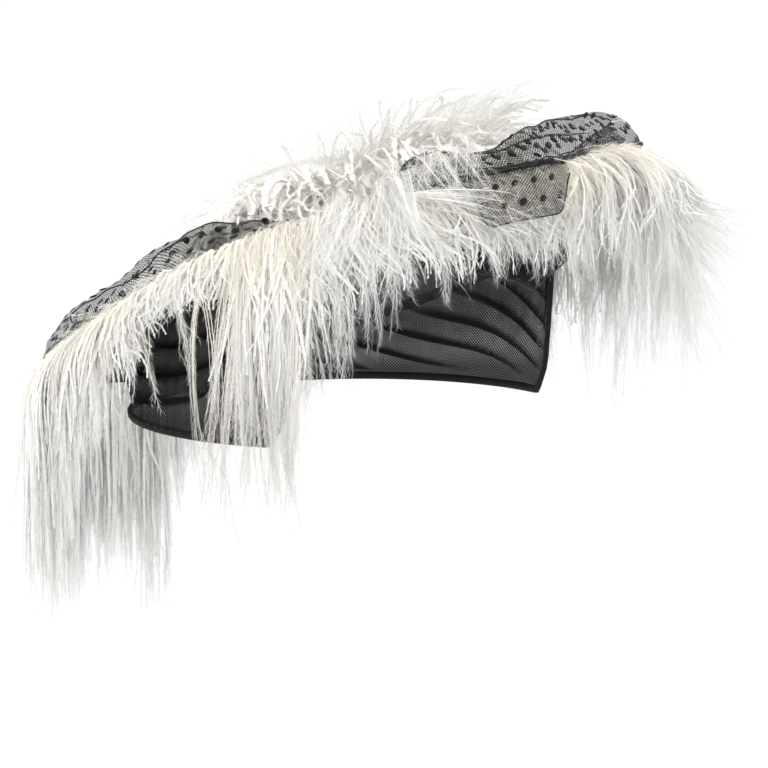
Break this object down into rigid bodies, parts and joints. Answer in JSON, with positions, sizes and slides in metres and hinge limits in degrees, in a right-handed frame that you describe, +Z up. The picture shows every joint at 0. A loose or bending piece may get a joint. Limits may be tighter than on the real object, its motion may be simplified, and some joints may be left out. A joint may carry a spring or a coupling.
{
  "type": "saucer hat",
  "caption": "Flat net saucer hat worn pitched back, with a deep ruched net cap wall, a dotted net ribbon round its top and ostrich plumes over the rim and crown.",
  "frame": {"origin": "the head seat: where the top of the head meets the underside of the saucer, in the middle of the head from side to side", "axes": "+Z up when worn, the face looks along -Y, the wearer's right side is -X"},
  "size_m": [0.4603, 0.442, 0.3745],
  "materials": {
    "black_net": "matt black open net over stiff net",
    "black_binding": "satin black bias binding",
    "dotted_ribbon": "sheer black net ribbon with flocked black dots",
    "white_ostrich": "soft white ostrich plume with cream roots",
    "cream_ostrich": "soft off-white curled ostrich plume"
  },
  "bodies": {
    "root": {"saucer_plate": "black_net", "cap_wall": "black_net", "cap_binding": "black_binding", "ribbon_far_swag": "dotted_ribbon", "ribbon_back_swag": "dotted_ribbon", "ribbon_gather": "dotted_ribbon", "ribbon_small_loop": "dotted_ribbon", "ribbon_front_swag": "dotted_ribbon", "ribbon_tab": "dotted_ribbon", "rim_plume_01": "white_ostrich", "rim_plume_02": "white_ostrich", "rim_plume_03": "white_ostrich", "rim_plume_04": "white_ostrich", "rim_plume_05": "white_ostrich", "rim_plume_06": "white_ostrich", "rim_plume_07": "white_ostrich", "rim_plume_08": "white_ostrich", "rim_plume_09": "white_ostrich", "rim_plume_10": "white_ostrich", "rim_plume_11": "white_ostrich", "rim_plume_12": "white_ostrich", "rim_plume_13": "white_ostrich", "rim_plume_14": "white_ostrich", "front_tuft": "white_ostrich", "crown_plume_1": "cream_ostrich", "crown_plume_2": "cream_ostrich", "crown_plume_3": "cream_ostrich", "crown_plume_4": "cream_ostrich"}
  },
  "joints": []
}
